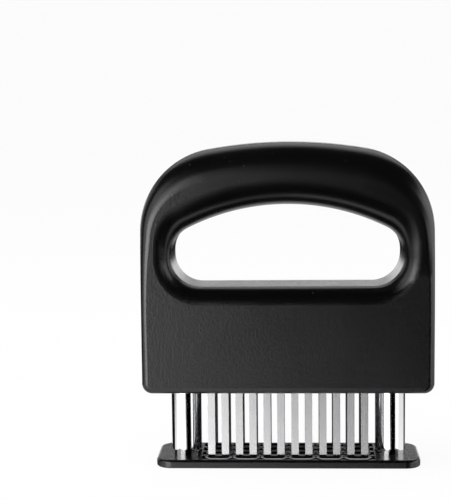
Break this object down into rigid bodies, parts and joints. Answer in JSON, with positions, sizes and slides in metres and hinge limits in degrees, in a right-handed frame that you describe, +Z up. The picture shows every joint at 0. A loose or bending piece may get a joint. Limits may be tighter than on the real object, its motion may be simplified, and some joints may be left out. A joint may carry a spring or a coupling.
{
  "type": "blade meat tenderizer",
  "caption": "Hand-pressed blade tenderizer: D-shaped plastic grip holding rows of steel knives, with a sprung, slotted guard plate sliding on tubular posts.",
  "frame": {"origin": "middle of the guard plate's underside, where the tool stands on a board", "axes": "+X to the right along the grip, +Y from the front face to the rear face, +Z up through the grip"},
  "size_m": [0.1204, 0.034, 0.1347],
  "materials": {
    "moulded_black": "fine spark-eroded grain, satin",
    "blade_steel": "satin stainless",
    "polished_tube": "polished stainless tube",
    "white_acetal": "natural acetal",
    "spring_steel": "drawn stainless wire",
    "screw_steel": "zinc plated"
  },
  "bodies": {
    "grip": {"front_shell": "moulded_black", "rear_shell": "moulded_black", "knife_block": "moulded_black", "knife_1_1": "blade_steel", "knife_1_2": "blade_steel", "knife_1_3": "blade_steel", "knife_1_4": "blade_steel", "knife_1_5": "blade_steel", "knife_1_6": "blade_steel", "knife_2_1": "blade_steel", "knife_2_2": "blade_steel", "knife_2_3": "blade_steel", "knife_2_4": "blade_steel", "knife_2_5": "blade_steel", "knife_2_6": "blade_steel", "knife_3_1": "blade_steel", "knife_3_2": "blade_steel", "knife_3_3": "blade_steel", "knife_3_4": "blade_steel", "knife_3_5": "blade_steel", "knife_3_6": "blade_steel", "knife_4_1": "blade_steel", "knife_4_2": "blade_steel", "knife_4_3": "blade_steel", "knife_4_4": "blade_steel", "knife_4_5": "blade_steel", "knife_4_6": "blade_steel", "retaining_pin_1": "blade_steel", "retaining_pin_2": "blade_steel", "retaining_pin_3": "blade_steel", "retaining_pin_4": "blade_steel", "retaining_pin_5": "blade_steel", "retaining_pin_6": "blade_steel", "guide_bushing_left": "white_acetal", "spring_seat_left": "white_acetal", "spring_left": "spring_steel", "guide_bushing_right": "white_acetal", "spring_seat_right": "white_acetal", "spring_right": "spring_steel", "shell_screws": "screw_steel"},
    "guard": {"guard_plate": "moulded_black", "post_left": "polished_tube", "post_right": "polished_tube", "post_plug_left": "white_acetal", "post_plug_right": "white_acetal", "post_screws": "screw_steel"}
  },
  "joints": [
    {"name": "guard_slide", "type": "slide", "parent": "grip", "child": "guard", "axis": [0, 0, 1], "range_m": [0, 0.025], "stiffness_N_per_m": 600, "springref_m": -0.012, "deforming": ["spring_left", "spring_right"]}
  ]
}
